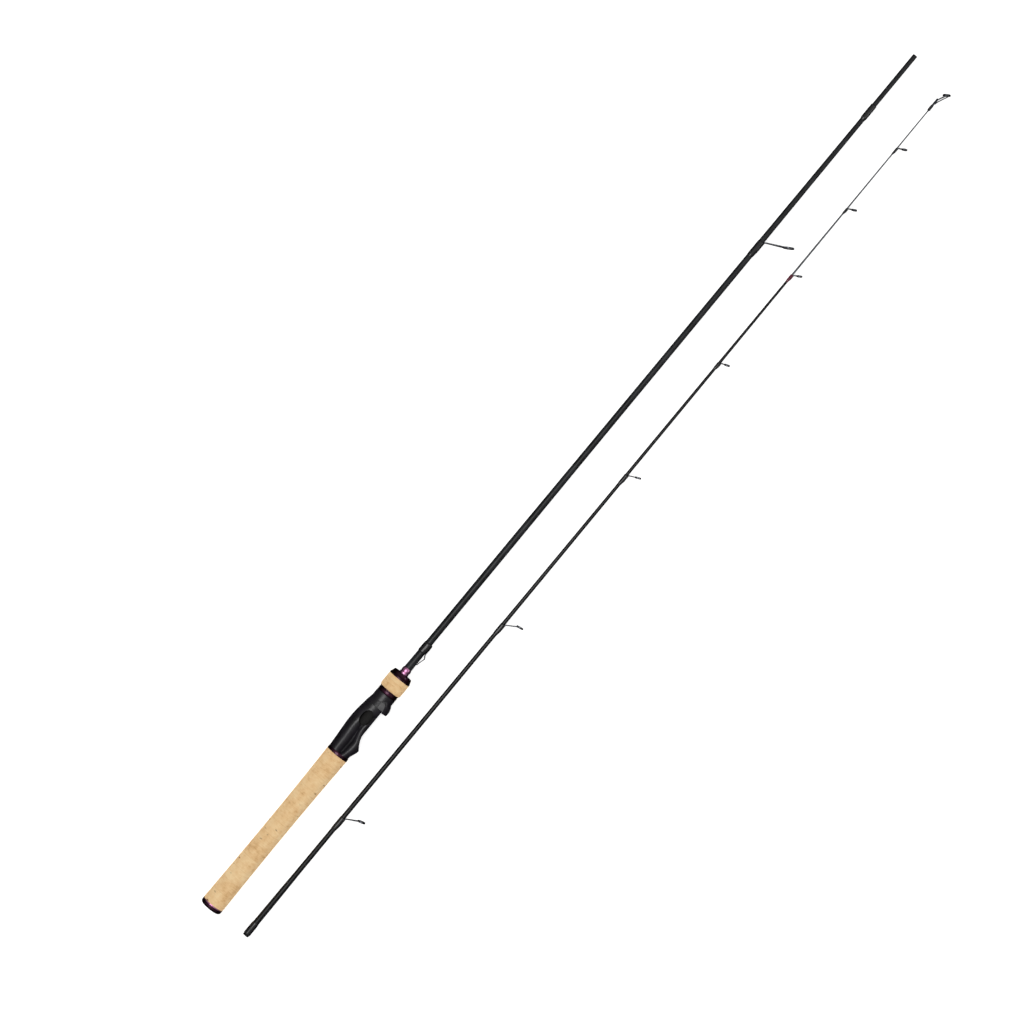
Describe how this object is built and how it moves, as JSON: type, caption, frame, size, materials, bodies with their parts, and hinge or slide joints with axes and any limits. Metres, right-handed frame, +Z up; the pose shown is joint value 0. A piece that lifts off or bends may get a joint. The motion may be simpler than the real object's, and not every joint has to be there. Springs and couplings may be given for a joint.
{
  "type": "spinning rod",
  "caption": "Two-piece spinning fishing rod laid out in its two sections: cork grip and reel seat on the butt section, slim tip section with line guides beside it.",
  "frame": {"origin": "centre of the underside of the box round both sections as they lie side by side", "axes": "+X from the butt ends to the tip ends, +Z up, the reel side and the line guides point to -Y"},
  "size_m": [0.93, 0.0678, 0.0209],
  "materials": {
    "cork": "matte",
    "dark_anodised": "satin",
    "bright_anodised": "satin",
    "seat_plastic": "gloss",
    "butt_blank": "satin",
    "tip_blank": "gloss",
    "solid_tip": "satin",
    "black_wrap": "gloss",
    "red_wrap": "gloss",
    "guide_steel": "polished",
    "keeper_steel": "polished",
    "ring_ceramic": "gloss",
    "arbor": "matte"
  },
  "bodies": {
    "butt_section": {"butt_blank": "butt_blank", "butt_cap": "dark_anodised", "butt_trim_ring": "bright_anodised", "rear_grip": "cork", "seat_rear_ring": "dark_anodised", "reel_seat": "seat_plastic", "seat_rear_arbor": "arbor", "seat_front_arbor": "arbor", "winding_check": "bright_anodised", "hook_keeper": "keeper_steel", "keeper_wrap": "black_wrap", "stripper_frame": "guide_steel", "stripper_ring": "ring_ceramic", "stripper_wrap": "black_wrap", "male_ferrule_wrap": "black_wrap"},
    "sliding_hood": {"sliding_hood": "seat_plastic"},
    "lock_nut": {"nut_sleeve": "arbor", "nut_rear_ring": "dark_anodised", "foregrip_cork": "cork", "foregrip_front_ring": "dark_anodised"},
    "tip_section": {"tip_blank": "tip_blank", "solid_tip": "solid_tip", "female_ferrule_wrap": "black_wrap", "guide_1_frame": "guide_steel", "guide_1_ring": "ring_ceramic", "guide_1_wrap": "black_wrap", "guide_2_frame": "guide_steel", "guide_2_ring": "ring_ceramic", "guide_2_wrap": "black_wrap", "guide_3_frame": "guide_steel", "guide_3_ring": "ring_ceramic", "guide_3_wrap": "black_wrap", "guide_4_frame": "guide_steel", "guide_4_ring": "ring_ceramic", "guide_4_wrap": "black_wrap", "guide_5_frame": "guide_steel", "guide_5_ring": "ring_ceramic", "guide_5_wrap": "red_wrap", "guide_6_frame": "guide_steel", "guide_6_ring": "ring_ceramic", "guide_6_wrap": "black_wrap", "guide_7_frame": "guide_steel", "guide_7_ring": "ring_ceramic", "guide_7_wrap": "black_wrap", "tip_top_frame": "guide_steel", "tip_top_ring": "ring_ceramic", "tip_top_wrap": "black_wrap"}
  },
  "joints": [
    {"name": "hood_slide", "type": "slide", "parent": "butt_section", "child": "sliding_hood", "axis": [1, 0, 0], "range_m": [0, 0.011]},
    {"name": "lock_nut_turn", "type": "hinge", "parent": "sliding_hood", "child": "lock_nut", "pos_m": [-0.222, 0.022, 0.0104], "axis": [1, 0, 0], "range_deg": [0, 1978]},
    {"name": "tip_section_slide", "type": "slide", "parent": "butt_section", "child": "tip_section", "axis": [1, 0, 0], "range_m": [0, 0.95]}
  ],
  "couplings": [
    {"joint": "hood_slide", "follows": "lock_nut_turn", "m_per_rad": 0.00031831}
  ]
}
